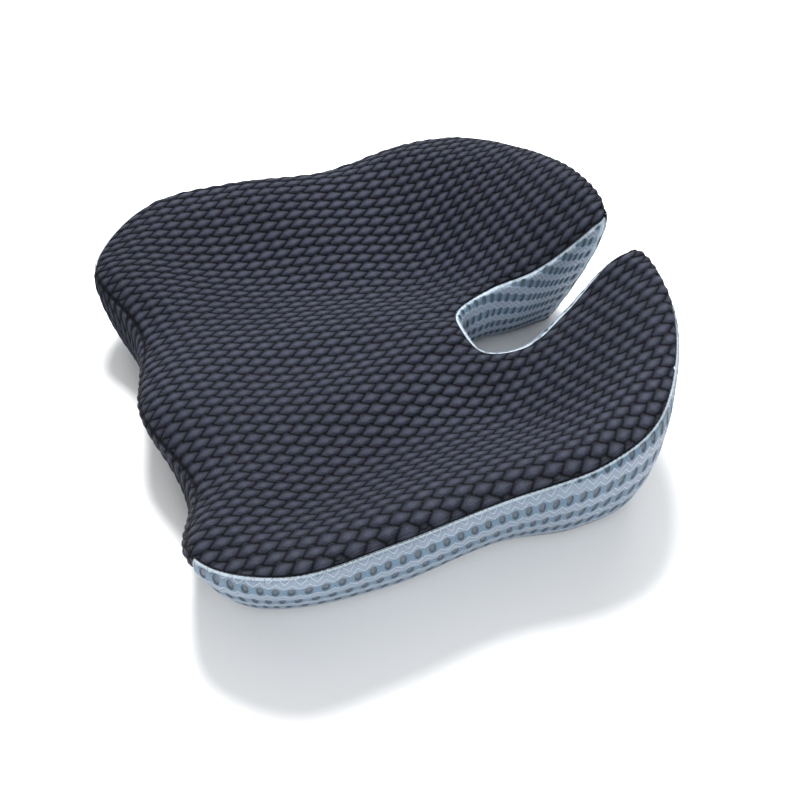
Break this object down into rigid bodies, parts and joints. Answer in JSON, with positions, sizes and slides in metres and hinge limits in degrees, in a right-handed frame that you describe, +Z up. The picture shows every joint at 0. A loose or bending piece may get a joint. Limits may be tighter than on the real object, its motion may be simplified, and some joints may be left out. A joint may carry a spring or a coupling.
{
  "type": "seat cushion",
  "caption": "Contoured seat cushion with a tailbone notch, dished top, raised rear lobes, charcoal air-mesh top, pale blue mesh sides and a zipped underside.",
  "frame": {"origin": "middle of the footprint, on the surface that the cushion rests on", "axes": "+Z up, -Y towards the front edge that faces the sitter's knees, +Y towards the open end of the tailbone notch, +X to the sitter's left"},
  "size_m": [0.437, 0.4236, 0.1329],
  "materials": {
    "foam": "matte slow-recovery foam",
    "liner": "thin white knit",
    "air_mesh_charcoal": "coarse matte air mesh",
    "air_mesh_blue": "coarse air mesh with a soft sheen",
    "base_cloth": "flat matte weave",
    "grip": "satin silicone dots",
    "thread_dark": "twisted polyester",
    "thread_blue": "twisted polyester",
    "zip_tape": "ribbed tape",
    "zip_coil": "satin nylon coil",
    "zip_metal": "dark plated die cast"
  },
  "bodies": {
    "cushion": {"foam_core": "foam", "liner_shell": "liner", "liner_base": "liner", "top_panel": "air_mesh_charcoal", "side_band_right": "air_mesh_blue", "side_band_left": "air_mesh_blue", "notch_gusset": "air_mesh_blue", "bottom_panel": "base_cloth", "grip_coating_front": "grip", "grip_coating_rear": "grip", "seam_thread_top": "thread_dark", "seam_thread_bottom": "thread_dark", "seam_thread_tip_right": "thread_blue", "seam_thread_tip_left": "thread_blue", "zip_tape_front": "zip_tape", "zip_tape_rear": "zip_tape", "zip_coil_front": "zip_coil", "zip_coil_rear": "zip_coil", "zip_stitch_front": "thread_dark", "zip_stitch_rear": "thread_dark", "zip_stop_closed": "zip_metal", "zip_stop_open": "zip_metal"},
    "slider": {"zip_slider": "zip_metal"},
    "pull": {"zip_pull": "zip_metal"}
  },
  "joints": [
    {"name": "zip_slide", "type": "slide", "parent": "cushion", "child": "slider", "axis": [1, 0, 0], "range_m": [0, 0.27]},
    {"name": "pull_hinge", "type": "hinge", "parent": "slider", "child": "pull", "pos_m": [-0.146, -0.115, 0.0021], "axis": [0, 1, 0], "range_deg": [0, 150]}
  ]
}
